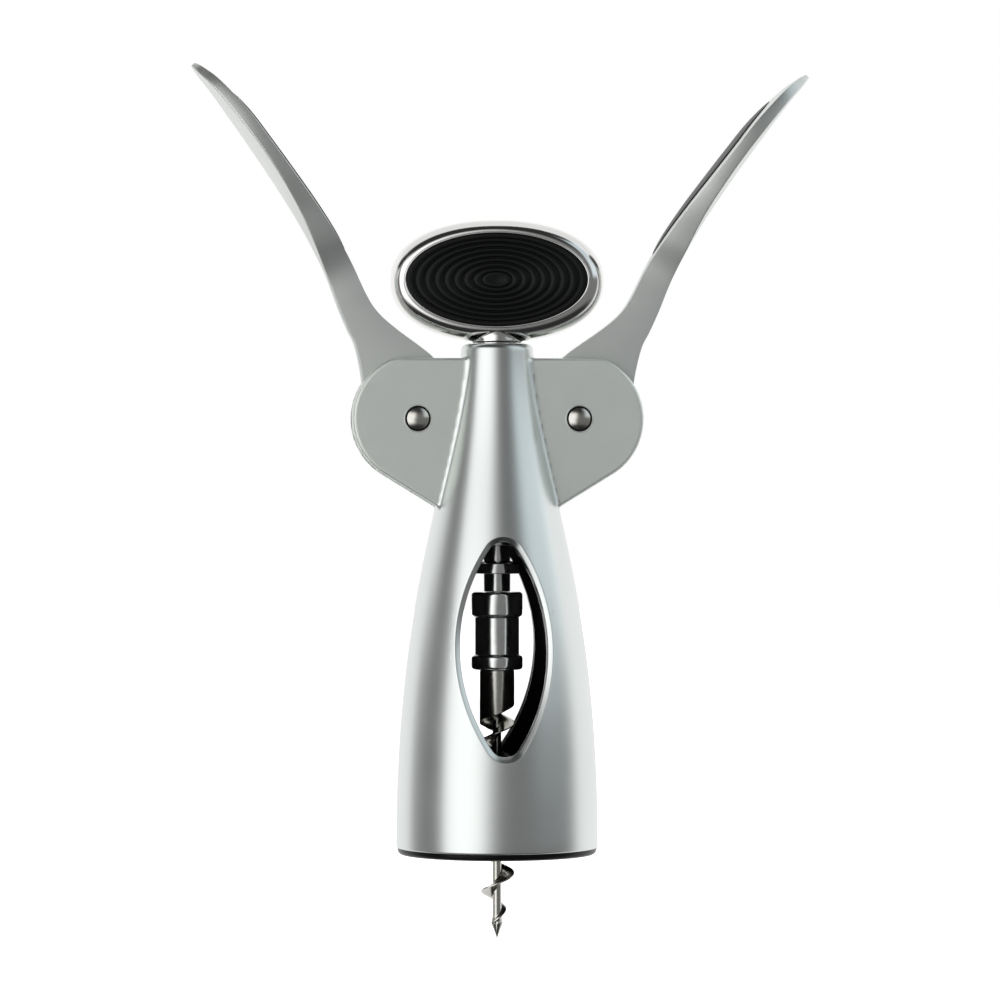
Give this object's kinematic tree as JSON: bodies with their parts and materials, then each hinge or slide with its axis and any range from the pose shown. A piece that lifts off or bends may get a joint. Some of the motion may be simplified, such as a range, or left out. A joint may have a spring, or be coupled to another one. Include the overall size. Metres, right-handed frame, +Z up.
{
  "type": "wing corkscrew",
  "caption": "Wing corkscrew with an open bell-shaped body, two geared wing levers with thumb paddles, a ringed rack spindle with an oval padded knob, and a helical worm that draws the cork up.",
  "frame": {"origin": "centre of the base ring's underside, on the body's axis", "axes": "+X towards the wing that stands on the right in the picture, +Y away from the viewer of the picture, +Z up along the body's axis towards the knob"},
  "size_m": [0.1385, 0.045, 0.1949],
  "materials": {
    "satin_chrome": "satin pearl plating on zinc casting",
    "polished_chrome": "polished plating on zinc casting",
    "black_nickel": "polished dark plating on turned steel",
    "bright_steel": "bright drawn steel",
    "black_rubber": "soft matt black",
    "black_plastic": "moulded black"
  },
  "bodies": {
    "housing": {"bell_casting": "satin_chrome", "bottle_guide": "black_plastic", "neck_bush": "black_plastic", "pivot_pin_left": "bright_steel", "pivot_pin_right": "bright_steel"},
    "slider": {"stop_spool": "black_nickel"},
    "spindle": {"rack_spindle": "black_nickel", "worm": "bright_steel", "worm_pin": "bright_steel", "knob_body": "polished_chrome", "knob_pad_front": "black_rubber", "knob_pad_back": "black_rubber", "knob_pin": "bright_steel"},
    "left_wing": {"lever_left": "satin_chrome", "lever_pad_left": "black_rubber"},
    "right_wing": {"lever_right": "satin_chrome", "lever_pad_right": "black_rubber"}
  },
  "joints": [
    {"name": "rack_slide", "type": "slide", "parent": "housing", "child": "slider", "axis": [0, 0, 1], "range_m": [0, 0.0342]},
    {"name": "spindle_spin", "type": "hinge", "parent": "slider", "child": "spindle", "pos_m": [0, 0, 0.05], "axis": [0, 0, 1], "continuous": true},
    {"name": "left_wing_hinge", "type": "hinge", "parent": "housing", "child": "left_wing", "pos_m": [-0.01805, 0, 0.09715], "axis": [0, -1, 0], "range_deg": [0, 140]},
    {"name": "right_wing_hinge", "type": "hinge", "parent": "housing", "child": "right_wing", "pos_m": [0.01805, 0, 0.09715], "axis": [0, 1, 0], "range_deg": [0, 140]}
  ],
  "couplings": [
    {"joint": "left_wing_hinge", "follows": "rack_slide", "rad_per_m": 71.43},
    {"joint": "right_wing_hinge", "follows": "rack_slide", "rad_per_m": 71.43}
  ]
}
